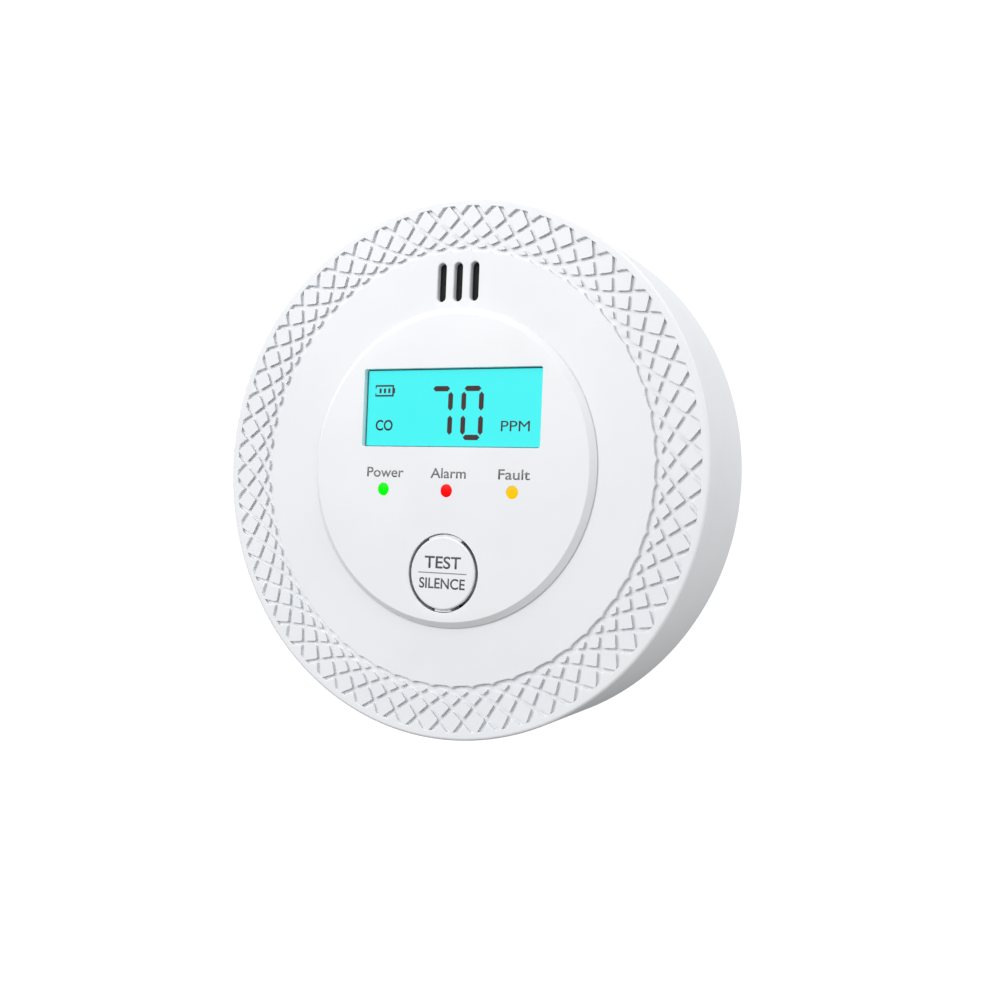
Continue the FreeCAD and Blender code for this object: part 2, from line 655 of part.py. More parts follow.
nodes = {
    "wall_bracket": wall_bracket(),
    "front_cover": front_cover(),
    "face_plate": face_plate(),
    "lcd_window": lcd_window(),
    "lcd_glass": lcd_glass(),
    "lcd_backlight": lcd_backlight(),
    "lcd_frame": lcd_frame(),
    "zebra_strips": zebra_strips(),
    "light_pipe_power": light_pipe(-LED_X),
    "light_pipe_alarm": light_pipe(0.0),
    "light_pipe_fault": light_pipe(LED_X),
    "led_power": led(-LED_X),
    "led_alarm": led(0.0),
    "led_fault": led(LED_X),
    "main_pcb": main_pcb(),
    "mcu_chip": chip(12.0, -12.0, 9.0, 1.4, 8),
    "amplifier_chip": chip(-22.0, -2.0, 4.0, 1.2, 4),
    "capacitors": capacitors(),
    "driver_coil": driver_coil(),
    "switch_body": switch_body(),
    "switch_plunger": switch_plunger(),
    "test_button": test_button(),
    "gas_sensor": gas_sensor(),
    "sensor_filter": sensor_filter(),
    "buzzer_housing": buzzer_housing(),
    "buzzer_disc": buzzer_disc(),
    "buzzer_retainer": buzzer_retainer(),
    "dust_mesh": dust_mesh(),
    "rear_cover": rear_cover(),
    "battery_door": battery_door(),
    "battery_upper": cell(UPPER_Z, 1),
    "battery_lower": cell(LOWER_Z, -1),
    "spring_upper": contact_spring(UPPER_Z, 1),
    "spring_lower": contact_spring(LOWER_Z, -1),
    "contact_link": contact_plate(-1, BAY_LOW_Z, BAY_TOP_Z, BAY_Z),
    "contact_positive": contact_plate(1, BAY_Z + 0.5, BAY_TOP_Z, BAY_Z + 8.0),
    "contact_negative": contact_plate(1, BAY_LOW_Z, BAY_Z - 0.5, BAY_Z - 8.0),
    "housing_screws": housing_screws(),
    "pcb_screws": pcb_screws(),
}

os.makedirs("parts", exist_ok=True)
for name, shape in nodes.items():
    shape.exportStep("parts/" + name + ".step")
    print(name, shape.isValid(), len(shape.Solids), round(shape.Volume / 1000, 2))
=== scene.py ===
import math

import bmesh
import bpy
from mathutils import Matrix, Vector


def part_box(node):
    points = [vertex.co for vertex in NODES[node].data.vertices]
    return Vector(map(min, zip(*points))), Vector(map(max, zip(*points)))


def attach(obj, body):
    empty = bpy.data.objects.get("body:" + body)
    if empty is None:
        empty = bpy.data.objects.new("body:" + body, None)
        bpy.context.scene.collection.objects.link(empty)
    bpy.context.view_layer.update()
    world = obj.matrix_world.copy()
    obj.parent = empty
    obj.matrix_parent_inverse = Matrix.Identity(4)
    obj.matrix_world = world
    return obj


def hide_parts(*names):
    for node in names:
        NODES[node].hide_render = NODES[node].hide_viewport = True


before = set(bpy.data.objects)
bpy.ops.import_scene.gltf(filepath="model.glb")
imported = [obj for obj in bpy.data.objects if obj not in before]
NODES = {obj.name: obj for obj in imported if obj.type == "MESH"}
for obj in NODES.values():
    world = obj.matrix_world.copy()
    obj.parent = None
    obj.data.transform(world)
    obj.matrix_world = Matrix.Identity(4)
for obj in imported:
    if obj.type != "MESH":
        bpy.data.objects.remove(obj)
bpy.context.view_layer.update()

MM = 0.001
INK_T = 0.03 * MM        # thickness of printed ink


# Sizes worked out from the frame, in metres

def corner(node, which, axis):
    """One coordinate of a node's box: which is 0 for the lowest corner and 1 for the highest."""
    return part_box(node)[which]["xyz".index(axis)]


def middle(node, axis):
    return (corner(node, 0, axis) + corner(node, 1, axis)) / 2


FACE_Y = corner("front_cover", 0, "y")
CASE_BACK_Y = corner("front_cover", 1, "y")
CASE_R = corner("front_cover", 1, "x")
PLATE_Y = corner("face_plate", 0, "y")
PLATE_FOOT_Y = corner("face_plate", 1, "y")
PLATE_R = corner("face_plate", 1, "x")
LENS_Y = corner("lcd_window", 0, "y")
GLASS_Y = corner("lcd_glass", 0, "y")
GAUZE_Y = corner("dust_mesh", 0, "y")
DISPLAY_Z = middle("lcd_window", "z")
LIGHT_X = middle("light_pipe_fault", "x")
LIGHT_Z = middle("light_pipe_fault", "z")
BUTTON_Y = corner("test_button", 0, "y")
BUTTON_TOP_Y = BUTTON_Y + 0.01 * MM
BUTTON_Z = middle("test_button", "z")

AROUND = 240             # points on a full circle of the case or plate
CASE_BACK_R = CASE_R - 1.2 * MM
WALL = 2.0 * MM
EDGE = 0.6 * MM
BACK_EDGE = 0.25 * MM    # bevel of the case's back edge
PLATE_BEVEL = 1.1 * MM
PLATE_LIP = 0.25 * MM
PLATE_FOOT_R = PLATE_R - 0.2 * MM
CUT_EDGE = 0.08 * MM     # rounding of the plate's openings
OPENING_MARGIN = 2.0 * MM
WINDOW_W, WINDOW_H = 39.8 * MM, 15.6 * MM
LIGHT_R = 1.25 * MM
LIGHT_OPENING_R = 2.1 * MM
LIGHT_COLLAR_R = 2 * MM
BUTTON_HOLE_R = 7.75 * MM
BUTTON_R = 7.15 * MM
BUTTON_INNER_R = 5.9 * MM
BUTTON_SKIRT_R = 6.65 * MM
BUTTON_LIP = 0.4 * MM
BUTTON_RELIEF_R = 8.2 * MM
BUTTON_TAB_R = 9.3 * MM
BUTTON_RIBS = ((89.5, 29.5), (271.0, 14.0))      # middle and half width, degrees
BUTTON_CAP_T = 1.5 * MM
STEM_R, STEM_START, STEM_END = 1.5 * MM, 1.4 * MM, 2.1 * MM      # start and end from the cap's front
SLOT_PITCH, SLOT_W = 3.65 * MM, 1.85 * MM
SLOT_LOW_Z, SLOT_HIGH_Z = 32.8 * MM, 40.5 * MM
SLOT_MIDDLE_Z = (SLOT_LOW_Z + SLOT_HIGH_Z) / 2
SLOT_EDGE = 0.25 * MM
GAUZE_R = 9.0 * MM
INSIDE_Y = FACE_Y + WALL
BOARD_Y = corner("main_pcb", 0, "y")
SOUNDER_Z = middle("buzzer_housing", "z")
SCREW_ANGLES = (50, 130, 230, 310)
SCREW_RADIUS = 45.0 * MM
SCREW_BOSS_R, SCREW_BOSS_BORE, SCREW_BOSS_END = 3.0 * MM, 1.35 * MM, 17.9 * MM
COLLAR_R, COLLAR_BORE, COLLAR_END = 12.7 * MM, 12.0 * MM, 4.5 * MM
BOARD_BOSS_R, BOARD_BOSS_BORE = 2.6 * MM, 1.05 * MM
BOARD_SCREWS = ((-38.0, 0.0), (38.0, 0.0), (-16.0, -38.0), (16.0, -38.0))

# The ring of raised diamonds: two families of curved grooves, each curve r = inner + bow * s * s
# with s in degrees from where it touches the inner circle
PITCH = 6.0
GROOVES = 60
RING_IN = 43.1 * MM
RING_OUT = 51.7 * MM
BOW = 0.0342 * MM
CROSSING = 13.6
GROOVE_HALF = 0.47 * MM
GROOVE_DEPTH = 0.65 * MM
CELL_EDGE = 0.10 * MM
DRAFT = 0.06 * MM        # how far a groove's wall leans over its depth
TOOTH_H, TOOTH_SPREAD = 0.42 * MM, 0.75


# Mesh helpers. A loop is a list of (x, z) points, and every mesh is built from loops at given y

SHARP_ANGLE = math.radians(32)
MITRE_LIMIT = 0.35       # keeps a sharp corner from running far out


def new_object(name, bm, material, smooth=True, body="alarm"):
    mesh = bpy.data.meshes.new(name)
    bmesh.ops.recalc_face_normals(bm, faces=bm.faces)
    bm.to_mesh(mesh)
    bm.free()
    piece = bpy.data.objects.new(name, mesh)
    bpy.context.scene.collection.objects.link(piece)
    piece.data.materials.append(material)
    if smooth:
        for polygon in mesh.polygons:
            polygon.use_smooth = True
        mesh.set_sharp_from_angle(angle=SHARP_ANGLE)
        even = piece.modifiers.new("even_normals", "WEIGHTED_NORMAL")
        even.keep_sharp = True
    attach(piece, body)
    return piece


def circle(r, count, x=0.0, z=0.0):
    turn = 2 * math.pi / count
    return [(x + r * math.cos(i * turn), z + r * math.sin(i * turn)) for i in range(count)]


def arc(x, z, r, start, end, count):
    """Points on an arc, in degrees, both ends included."""
    step = math.radians(end - start) / count
    a0 = math.radians(start)
    return [(x + r * math.cos(a0 + i * step), z + r * math.sin(a0 + i * step)) for i in range(count + 1)]


def rounded_rectangle(width, height, r, x=0.0, z=0.0, count=5):
    """Anticlockwise rectangle with rounded corners."""
    dx, dz = width / 2 - r, height / 2 - r
    points = arc(x + dx, z + dz, r, 0, 90, count) + arc(x - dx, z + dz, r, 90, 180, count)
    return points + arc(x - dx, z - dz, r, 180, 270, count) + arc(x + dx, z - dz, r, 270, 360, count)


def upright_slot(width, low, high, x):
    r = width / 2
    return arc(x, high - r, r, 0, 180, 12) + arc(x, low + r, r, 180, 360, 12)


def offset(loop, distance):
    """Moves an anticlockwise loop outwards by distance along the mitre of its two edges."""
    moved = []
    count = len(loop)
    for i in range(count):
        before, here, after = (Vector(loop[(i + k) % count]) for k in (-1, 0, 1))
        e0 = (here - before).normalized()
        e1 = (after - here).normalized()
        n0 = Vector((e0.y, -e0.x))
        n1 = Vector((e1.y, -e1.x))
        mitre = n0 + n1
        scale = distance / max(MITRE_LIMIT, 1 + n0.dot(n1))
        moved.append((here.x + mitre.x * scale, here.y + mitre.y * scale))
    return moved


def add_loop(bm, loop, y):
    return [bm.verts.new((x, y, z)) for x, z in loop]


def bridge(bm, ring_a, ring_b):
    count = len(ring_a)
    for i in range(count):
        j = (i + 1) % count
        bm.faces.new((ring_a[i], ring_a[j], ring_b[j], ring_b[i]))


def stack(bm, loops_and_depths):
    """Bands of faces through several loops of the same length; returns the rings of vertices."""
    rings = [add_loop(bm, loop, y) for loop, y in loops_and_depths]
    for a, b in zip(rings, rings[1:]):
        bridge(bm, a, b)
    return rings


def fill(bm, rings):
    """Flat face between an outer ring of vertices and the rings of its holes."""
    edges = []
    for verts in rings:
        for i, vert in enumerate(verts):
            other = verts[(i + 1) % len(verts)]
            edge = bm.edges.get((vert, other)) or bm.edges.new((vert, other))
            edges.append(edge)
    bmesh.ops.triangle_fill(bm, edges=edges, use_beauty=True, use_dissolve=False)


def rounding(loop, y, edge, side, steps=3):
    """Loops of a quarter-round from the face at y to the wall; side is 1 inside, -1 at a hole."""
    bands = []
    for i in range(steps + 1):
        a = math.pi / 2 * i / steps
        bands.append((offset(loop, -side * edge * (1 - math.sin(a))), y + edge * (1 - math.cos(a))))
    return bands


def tube(bm, x, z, r_out, r_in, front, back, count=48):
    """Hollow boss along Y."""
    edge = 0.1 * MM
    rings = stack(bm, [(circle(r_out, count, x, z), front), (circle(r_out, count, x, z), back - edge),
                       (circle(r_out - edge, count, x, z), back), (circle(r_in, count, x, z), back),
                       (circle(r_in, count, x, z), front)])
    bridge(bm, rings[-1], rings[0])


def flat_shape(bm, loop, y):
    """Layer of ink with its front at depth y."""
    rings = stack(bm, [(loop, y), (loop, y + INK_T)])
    bm.faces.new(rings[0])
    bm.faces.new(rings[-1])


# Materials: every one is made of nodes, and constants sit on the shader's own sockets

def material(name, colour, roughness, **sockets):
    mat = bpy.data.materials.new(name)
    mat.use_nodes = True
    shader = mat.node_tree.nodes["Principled BSDF"]
    shader.inputs["Base Color"].default_value = (*colour, 1.0)
    shader.inputs["Roughness"].default_value = roughness
    for socket, value in sockets.items():
        shader.inputs[socket.replace("_", " ")].default_value = value
    return mat


def object_noise(mat, scale, detail=3.0):
    """Noise in the object's own space, in cycles per metre."""
    tree = mat.node_tree
    place = tree.nodes.new("ShaderNodeTexCoord")
    noise = tree.nodes.new("ShaderNodeTexNoise")
    noise.inputs["Scale"].default_value = scale
    noise.inputs["Detail"].default_value = detail
    tree.links.new(place.outputs["Object"], noise.inputs["Vector"])
    return noise


def vary_colour(mat, dark, light, scale):
    """Colour that drifts softly between two near shades."""
    tree = mat.node_tree
    noise = object_noise(mat, scale)
    ramp = tree.nodes.new("ShaderNodeValToRGB")
    ramp.color_ramp.elements[0].position = 0.3
    ramp.color_ramp.elements[1].position = 0.7
    ramp.color_ramp.elements[0].color = (*dark, 1.0)
    ramp.color_ramp.elements[1].color = (*light, 1.0)
    tree.links.new(noise.outputs["Fac"], ramp.inputs["Fac"])
    tree.links.new(ramp.outputs["Color"], tree.nodes["Principled BSDF"].inputs["Base Color"])


def vary_roughness(mat, low, high, scale):
    tree = mat.node_tree
    noise = object_noise(mat, scale)
    spread = tree.nodes.new("ShaderNodeMapRange")
    spread.inputs["To Min"].default_value = low
    spread.inputs["To Max"].default_value = high
    tree.links.new(noise.outputs["Fac"], spread.inputs["Value"])
    tree.links.new(spread.outputs["Result"], tree.nodes["Principled BSDF"].inputs["Roughness"])


def bump(mat, scale, strength, distance):
    tree = mat.node_tree
    noise = object_noise(mat, scale, 2.0)
    relief = tree.nodes.new("ShaderNodeBump")
    relief.inputs["Strength"].default_value = strength
    relief.inputs["Distance"].default_value = distance
    tree.links.new(noise.outputs["Fac"], relief.inputs["Height"])
    tree.links.new(relief.outputs["Normal"], tree.nodes["Principled BSDF"].inputs["Normal"])


def moulded(name, dark, light, roughness, grain=9000.0, strength=0.10):
    """Moulded plastic: near-even colour, uneven sheen and a fine sparked grain."""
    mat = material(name, light, roughness)
    vary_colour(mat, dark, light, 60.0)
    vary_roughness(mat, roughness - 0.05, roughness + 0.07, 400.0)
    bump(mat, grain, strength, 0.02 * MM)
    return mat


def glowing(name, colour, strength, body_share):
    """Lit plastic: it shows its own colour, and its body colour is a darker share of it."""
    body = tuple(body_share * c for c in colour)
    mat = moulded(name, tuple(0.9 * c for c in body), body, 0.3, 3000.0, 0.03)
    shader = mat.node_tree.nodes["Principled BSDF"]
    shader.inputs["Emission Color"].default_value = (*colour, 1.0)
    shader.inputs["Emission Strength"].default_value = strength
    shader.inputs["Specular IOR Level"].default_value = 0.10
    return mat


COVER = moulded("cover_white", (0.79, 0.80, 0.82), (0.82, 0.83, 0.845), 0.42)
PLATE = moulded("plate_white", (0.80, 0.81, 0.825), (0.83, 0.84, 0.855), 0.36, 12000.0, 0.06)
BUTTON = moulded("button_white", (0.80, 0.81, 0.825), (0.83, 0.84, 0.855), 0.34, 12000.0, 0.06)
BRACKET = moulded("bracket_white", (0.74, 0.75, 0.765), (0.78, 0.79, 0.80), 0.5)
BLACK = moulded("black_plastic", (0.012, 0.012, 0.013), (0.02, 0.02, 0.021), 0.5)
INK = moulded("label_ink", (0.17, 0.175, 0.18), (0.20, 0.205, 0.21), 0.6, 6000.0, 0.03)
DARK_INK = moulded("button_ink", (0.07, 0.073, 0.08), (0.09, 0.093, 0.10), 0.6, 6000.0, 0.03)
SEGMENT = moulded("display_segment", (0.045, 0.010, 0.010), (0.06, 0.014, 0.014), 0.7, 6000.0, 0.02)
# painted shade: dark teal colour of the frame that stands in for the shade along the display window's walls
EDGE_SHADE = moulded("display_edge_shade", (0.03, 0.15, 0.17), (0.04, 0.18, 0.20), 0.5, 6000.0, 0.02)
CYAN = glowing("display_cyan", (0.07, 1.0, 1.0), 0.85, 0.15)
GREEN = glowing("lens_green", (0.0, 1.0, 0.0), 0.80, 0.2)
RED = glowing("lens_red", (1.0, 0.0, 0.0), 0.85, 0.2)
AMBER = glowing("lens_amber", (1.0, 0.60, 0.0), 0.85, 0.15)


def lens_material():
    """Mostly clear, with a light gloss."""
    mat = material("clear_lens", (0.05, 0.09, 0.09), 0.12, Alpha=0.04, IOR=1.3, Specular_IOR_Level=0.15)
    vary_roughness(mat, 0.10, 0.16, 300.0)
    return mat


LENS = lens_material()


# The ring of diamonds

def sheer(s):
    """How fast a groove's own angle changes across it, in degrees per metre, at s."""
    s = max(s, 0.4)
    r = RING_IN + BOW * s * s
    around = math.degrees(1) / r
    across = 1 / (2 * BOW * s)
    return math.hypot(around, across)


def ring_point(u, v):
    """Point (x, z) with groove angles u and v; grooves lie where either is a multiple of PITCH."""
    s = max((v - u) / 2 + CROSSING, 0.0)
    r = RING_IN + BOW * s * s
    a = math.radians((u + v) / 2)
    return r * math.cos(a), r * math.sin(a)


def tip_margin(s_tip, inward):
    """Groove margin, in degrees, where two groove edges meet near s_tip."""
    s = s_tip
    for _ in range(30):
        s = s_tip + inward * GROOVE_HALF * sheer(s)
        s = max(s, 0.6)
    return GROOVE_HALF * sheer(s)


def side_points(fixed, start, end, along, steps):
    """Points on one side of a cell, just inside the groove whose angle is fixed."""
    points = []
    for i in range(steps):
        t = start + (end - start) * i / steps
        base, sign = fixed
        other = base
        for _ in range(8):
            s = (t - other) / 2 + CROSSING if along == "v" else (other - t) / 2 + CROSSING
            other = base + sign * GROOVE_HALF * sheer(s)
        points.append(ring_point(other, t) if along == "v" else ring_point(t, other))
    return points


def smoothed(loop):
    """One round of corner cutting, which rounds the moulded corners of a cell."""
    cut = []
    for i, here in enumerate(loop):
        after = loop[(i + 1) % len(loop)]
        for share in (0.25, 0.75):
            cut.append((here[0] + (after[0] - here[0]) * share, here[1] + (after[1] - here[1]) * share))
    return cut


def diamond(k, row):
    """Outline of the cell between grooves k and k + 1 of one family, in a row counted from the rim."""
    u0, v0 = PITCH * k, PITCH * (k + row)
    s_mid = CROSSING + PITCH / 2 * row
    side = GROOVE_HALF * sheer(s_mid)
    inner = tip_margin(s_mid - PITCH / 2, 1)
    outer = tip_margin(s_mid + PITCH / 2, -1)
    steps = 4
    u1, v1 = u0 + PITCH, v0 + PITCH
    points = side_points((u1, -1), v0 + inner, v1 - side, "v", steps)
    points += side_points((v1, -1), u1 - side, u0 + outer, "u", steps)
    points += side_points((u0, 1), v1 - outer, v0 + side, "v", steps)
    points += side_points((v0, 1), u0 + side, u1 - inner, "u", steps)
    return smoothed(points)


def rim_loop():
    """Inner edge of the rim, with one inward triangle to each groove pitch."""
    margin = tip_margin(CROSSING, 1)
    s_rim = math.sqrt((RING_OUT - RING_IN) / BOW)
    half = s_rim - CROSSING - GROOVE_HALF * sheer(s_rim)
    loop = []
    for k in range(GROOVES):
        centre = PITCH * k
        tip_r = RING_IN + BOW * (CROSSING + margin) ** 2
        shape = ((-1.0, 0.0), (-0.5, 0.48), (-0.10, 0.93), (0.0, 1.0), (0.10, 0.93), (0.5, 0.48), (1.0, 0.0))
        for across, inward in shape:
            a = math.radians(centre + across * half)
            r = RING_OUT - inward * (RING_OUT - tip_r)
            loop.append((r * math.cos(a), r * math.sin(a)))
        for share in (0.33, 0.66):
            a = math.radians(centre + half + share * (PITCH - 2 * half))
            loop.append((RING_OUT * math.cos(a), RING_OUT * math.sin(a)))
    return loop


def inner_loop():
    """Outer edge of the plain face, with one small tooth to each groove pitch."""
    loop = []
    steps = 8
    for i in range(GROOVES * steps):
        degrees = PITCH * i / steps
        from_tooth = (degrees % PITCH) - PITCH / 2
        r = RING_IN - GROOVE_HALF + TOOTH_H * math.exp(-(from_tooth / TOOTH_SPREAD) ** 2)
        a = math.radians(degrees)
        loop.append((r * math.cos(a), r * math.sin(a)))
    return loop


def front_cover():
    """Face, ring of diamonds, rounded front edge, tapered side wall and the bosses inside."""
    bm = bmesh.new()
    floor_y = FACE_Y + GROOVE_DEPTH

    def step_down(loop, side, low):
        """Rounded edge and leaning wall from the face down to low."""
        bands = rounding(loop, FACE_Y, CELL_EDGE, side) + [(offset(loop, side * DRAFT), low)]
        return stack(bm, bands)

    seat_loop = circle(PLATE_FOOT_R, AROUND)
    seat = stack(bm, [(seat_loop, FACE_Y), (seat_loop, PLATE_FOOT_Y)])
    window = rounded_rectangle(WINDOW_W + 2 * OPENING_MARGIN, WINDOW_H + 2 * OPENING_MARGIN, 0.8 * MM, 0.0,
                               DISPLAY_Z)
    openings = [window, circle(BUTTON_RELIEF_R, 96, 0.0, BUTTON_Z)]
    openings += [circle(LIGHT_OPENING_R, 40, i * LIGHT_X, LIGHT_Z) for i in (-1, 0, 1)]
    through = [stack(bm, [(loop, PLATE_FOOT_Y), (loop, INSIDE_Y)]) for loop in openings]
    fill(bm, [seat[-1]] + [rings[0] for rings in through])
    slots = []
    for i in (-1, 0, 1):
        loop = upright_slot(SLOT_W, SLOT_LOW_Z, SLOT_HIGH_Z, i * SLOT_PITCH)
        slots.append(stack(bm, rounding(loop, FACE_Y, SLOT_EDGE, -1) + [(loop, GAUZE_Y)]))
    recess_loop = circle(GAUZE_R + 0.2 * MM, 96, 0.0, SLOT_MIDDLE_Z)
    recess = stack(bm, [(recess_loop, GAUZE_Y), (recess_loop, INSIDE_Y)])
    fill(bm, [recess[0]] + [rings[-1] for rings in slots])
    plain = step_down(inner_loop(), 1, floor_y)
    fill(bm, [plain[0], seat[0]] + [rings[0] for rings in slots])

    rim = step_down(rim_loop(), -1, floor_y)
    wall_bands = []
    edge_steps = 6
    for i in range(edge_steps + 1):
        a = math.pi / 2 * i / edge_steps
        wall_bands.append((CASE_R - EDGE * (1 - math.sin(a)), FACE_Y + EDGE * (1 - math.cos(a))))
    wall_bands += [(CASE_BACK_R, CASE_BACK_Y - BACK_EDGE), (CASE_BACK_R - BACK_EDGE, CASE_BACK_Y),
                   (CASE_BACK_R - WALL, CASE_BACK_Y), (CASE_R - WALL, INSIDE_Y)]
    wall = stack(bm, [(circle(r, AROUND), y) for r, y in wall_bands])
    fill(bm, [wall[0], rim[0]])
    fill(bm, [wall[-1], recess[-1]] + [rings[-1] for rings in through])

    fill(bm, [rim[-1], plain[-1]])
    root = 0.1 * MM          # how far a diamond reaches into the floor
    for row in range(-3, 1):
        for k in range(GROOVES):
            rings = step_down(diamond(k, row), 1, floor_y + root)
            bm.faces.new(rings[0])
            bm.faces.new(rings[-1])

    root_y = INSIDE_Y - 0.2 * MM
    for degrees in SCREW_ANGLES:
        a = math.radians(degrees)
        x, z = SCREW_RADIUS * math.cos(a), SCREW_RADIUS * math.sin(a)
        tube(bm, x, z, SCREW_BOSS_R, SCREW_BOSS_BORE, root_y, FACE_Y + SCREW_BOSS_END)
    for x, z in BOARD_SCREWS:
        tube(bm, x * MM, z * MM, BOARD_BOSS_R, BOARD_BOSS_BORE, root_y, BOARD_Y)
    tube(bm, 0.0, SOUNDER_Z, COLLAR_R, COLLAR_BORE, root_y, FACE_Y + COLLAR_END, 96)
    cover = new_object("front_cover_detailed", bm, COVER)
    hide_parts("front_cover")


front_cover()


# Face plate with its bevelled rim, window, light holes and button hole

def relief_loop(count):
    """Edge of the button hole behind its lip: wide, but close to the button at its guide ribs."""
    loop = []
    for i in range(count):
        degrees = 360.0 * i / count
        guided = any(abs(degrees - centre) <= half + 1.0 for centre, half in BUTTON_RIBS)
        r = BUTTON_HOLE_R + 0.02 * MM if guided else BUTTON_RELIEF_R
        a = math.radians(degrees)
        loop.append((r * math.cos(a), BUTTON_Z + r * math.sin(a)))
    return loop


def face_plate():
    bm = bmesh.new()
    top_r = PLATE_R - PLATE_BEVEL
    soft = 0.12 * MM
    small = 0.05 * MM
    outline = stack(bm, [(circle(top_r - soft, AROUND), PLATE_Y),
                         (circle(top_r, AROUND), PLATE_Y + small),
                         (circle(PLATE_R - small, AROUND), FACE_Y - PLATE_LIP - small),
                         (circle(PLATE_R, AROUND), FACE_Y - PLATE_LIP),
                         (circle(PLATE_FOOT_R, AROUND), FACE_Y - PLATE_LIP),
                         (circle(PLATE_FOOT_R, AROUND), PLATE_FOOT_Y)])
    window = rounded_rectangle(WINDOW_W, WINDOW_H, 0.5 * MM, 0.0, DISPLAY_Z)
    cuts = [stack(bm, rounding(window, PLATE_Y, CUT_EDGE, -1) + [(window, GLASS_Y)])]
    hole = circle(BUTTON_HOLE_R, 180, 0.0, BUTTON_Z)
    relief = relief_loop(180)
    behind_lip = [(hole, PLATE_Y + BUTTON_LIP), (relief, PLATE_Y + BUTTON_LIP), (relief, PLATE_FOOT_Y)]
    cuts.append(stack(bm, rounding(hole, PLATE_Y, CUT_EDGE, -1) + behind_lip))
    for i in (-1, 0, 1):
        loop = circle(LIGHT_R + 0.03 * MM, 40, i * LIGHT_X, LIGHT_Z)
        cuts.append(stack(bm, rounding(loop, PLATE_Y, CUT_EDGE, -1) + [(loop, PLATE_FOOT_Y)]))
    fill(bm, [outline[0]] + [rings[0] for rings in cuts])
    glass_w = corner("lcd_glass", 1, "x") - corner("lcd_glass", 0, "x")
    pocket_loop = rounded_rectangle(glass_w + 0.4 * MM, WINDOW_H + 3.2 * MM, 0.3 * MM, 0.0, DISPLAY_Z)
    pocket = stack(bm, [(pocket_loop, GLASS_Y), (pocket_loop, PLATE_FOOT_Y)])
    fill(bm, [pocket[0], cuts[0][-1]])
    fill(bm, [outline[-1], pocket[-1]] + [rings[-1] for rings in cuts[1:]])
    plate = new_object("face_plate_detailed", bm, PLATE)
    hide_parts("face_plate")


face_plate()


# Display: the lit panel, its dark segments and the clear lens over it

def display_panel():
    bm = bmesh.new()
    low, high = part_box("lcd_glass")
    width, height = high[0] - low[0], high[2] - low[2]
    loop = rounded_rectangle(width, height, 0.2 * MM, 0.0, DISPLAY_Z)
    rings = stack(bm, rounding(loop, GLASS_Y, 0.1 * MM, 1) + [(loop, high[1])])
    bm.faces.new(rings[0])
    bm.faces.new(rings[-1])
    glass = new_object("display_panel", bm, CYAN)
    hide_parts("lcd_glass")


display_panel()

SEGMENT_Y = GLASS_Y - 0.02 * MM


def window_point(x, v):
    """Window fractions, x from the left and v from the top, as a place on the display."""
    return (x - 0.5) * WINDOW_W, DISPLAY_Z + (0.5 - v) * WINDOW_H


def dash(bm, x0, v0, x1, v1, thickness):
    """Display segment with two pointed ends from one window place to another."""
    a = Vector(window_point(x0, v0))
    b = Vector(window_point(x1, v1))
    along = (b - a).normalized()
    side = Vector((-along.y, along.x)) * thickness / 2
    tip = along * thickness / 2
    loop = [a, a + tip - side, b - tip - side, b, b - tip + side, a + tip + side]
    flat_shape(bm, [tuple(p) for p in loop], SEGMENT_Y)


def window_bar(bm, x0, v0, x1, v1):
    """Plain bar between two opposite corners given in window fractions."""
    ax, az = window_point(x0, v1)
    bx, bz = window_point(x1, v0)
    flat_shape(bm, [(ax, az), (bx, az), (bx, bz), (ax, bz)], SEGMENT_Y)


def digits():
    """A seven and a nought made of separate pointed segments."""
    bm = bmesh.new()
    stroke = 1.05 * MM
    dash(bm, 0.386, 0.255, 0.482, 0.255, stroke)
    dash(bm, 0.487, 0.295, 0.487, 0.535, stroke)
    dash(bm, 0.487, 0.595, 0.487, 0.84, stroke)
    for x in (0.561, 0.659):
        dash(bm, x, 0.295, x, 0.535, stroke)
        dash(bm, x, 0.595, x, 0.84, stroke)
    dash(bm, 0.563, 0.255, 0.657, 0.255, stroke)
    dash(bm, 0.563, 0.87, 0.657, 0.87, stroke)
    piece = new_object("display_digits", bm, SEGMENT, smooth=False)


def battery_mark():
    """Outline of a battery with three bars of charge and a nub at its right."""
    bm = bmesh.new()
    left, top, right, low = 0.048, 0.200, 0.157, 0.350
    thin_x, thin_v = 0.009, 0.022
    window_bar(bm, left, top, right, top + thin_v)
    window_bar(bm, left, low - thin_v, right, low)
    window_bar(bm, left, top + thin_v, left + thin_x * 0.6, top + 0.045)
    window_bar(bm, left, low - 0.045, left + thin_x * 0.6, low - thin_v)
    window_bar(bm, right - thin_x, top + thin_v, right, low - thin_v)
    window_bar(bm, right, top + 0.042, right + 0.007, low - 0.042)
    for i in range(3):
        start = left + 0.024 + i * 0.026
        window_bar(bm, start, top + 0.045, start + 0.0125, low - 0.045)
    piece = new_object("display_battery_mark", bm, SEGMENT, smooth=False)


def display_edge_shade():
    """Painted shade: a thin dark teal frame on the display along the window's walls, standing in for the
    shade they cast on it.
    """
    bm = bmesh.new()
    outer = rounded_rectangle(WINDOW_W + 0.2 * MM, WINDOW_H + 0.2 * MM, 0.5 * MM, 0.0, DISPLAY_Z)
    inner = rounded_rectangle(WINDOW_W - 0.5 * MM, WINDOW_H - 0.5 * MM, 0.2 * MM, 0.0, DISPLAY_Z)
    back = SEGMENT_Y + INK_T
    rings = stack(bm, [(outer, SEGMENT_Y), (inner, SEGMENT_Y), (inner, back), (outer, back)])
    bridge(bm, rings[-1], rings[0])
    piece = new_object("display_edge_shade", bm, EDGE_SHADE, smooth=False)


digits()
battery_mark()
display_edge_shade()


# Lettering: plain function words in Blender's own font, as thin layers of ink

CAPITAL_H = 0.66         # height of a capital in the font's own units


